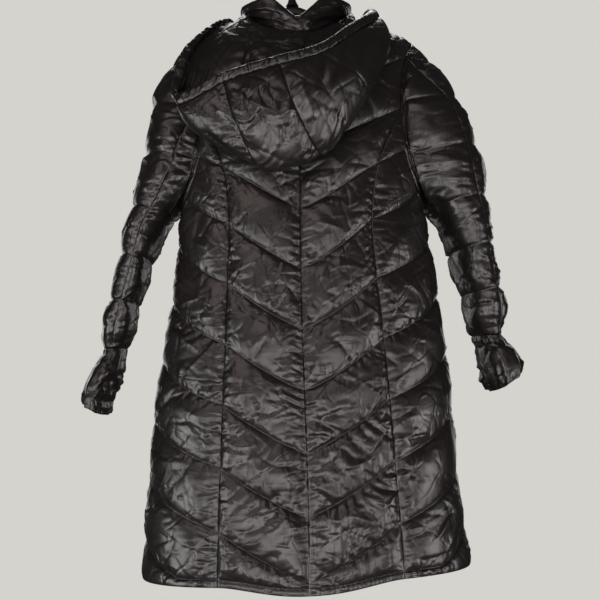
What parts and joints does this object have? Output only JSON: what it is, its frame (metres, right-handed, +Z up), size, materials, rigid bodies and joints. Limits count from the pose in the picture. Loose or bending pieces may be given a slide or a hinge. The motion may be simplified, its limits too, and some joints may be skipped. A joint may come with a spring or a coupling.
{
  "type": "long hooded puffer coat on a hanger",
  "caption": "Long fitted puffer coat with chevron quilting, a hood folded back, stand collar, gathered cuffs and a front zip, hanging from a plain hanger.",
  "frame": {"origin": "the point inside the top of the hanger's hook where it hangs from a rod or peg", "axes": "+Z up; the back of the coat faces -Y and its front zip faces +Y; -X and +X are left and right as seen from behind"},
  "size_m": [0.6758, 0.3086, 0.9779],
  "materials": {
    "shell_nylon": "thin glossy downproof nylon, near black",
    "zip_tape": "matt woven tape",
    "zip_metal": "black lacquered metal",
    "hanger_plastic": "black moulded plastic",
    "hook_steel": "black coated steel rod"
  },
  "bodies": {
    "coat": {"back_centre_left": "shell_nylon", "back_centre_right": "shell_nylon", "back_side_left": "shell_nylon", "back_side_right": "shell_nylon", "front_centre_left": "shell_nylon", "front_centre_right": "shell_nylon", "front_side_left": "shell_nylon", "front_side_right": "shell_nylon", "sleeve_top_left": "shell_nylon", "sleeve_top_right": "shell_nylon", "sleeve_under_left": "shell_nylon", "sleeve_under_right": "shell_nylon", "forearm_top_left": "shell_nylon", "forearm_top_right": "shell_nylon", "forearm_under_left": "shell_nylon", "forearm_under_right": "shell_nylon", "cuff_left": "shell_nylon", "cuff_right": "shell_nylon", "collar": "shell_nylon", "hood_side_left": "shell_nylon", "hood_strip": "shell_nylon", "hood_side_right": "shell_nylon", "hood_casing": "shell_nylon", "zip_tape_left": "zip_tape", "zip_tape_right": "zip_tape", "zip_slider": "zip_metal", "hanger_arms": "hanger_plastic", "hanger_neck": "hanger_plastic", "hanger_hook": "hook_steel"},
    "pull_tab": {"zip_pull": "zip_metal"}
  },
  "joints": [
    {"name": "pull_tab_swing", "type": "hinge", "parent": "coat", "child": "pull_tab", "pos_m": [-0.001, 0.09991, -0.298], "axis": [1, 0, 0], "range_deg": [0, 170]}
  ]
}
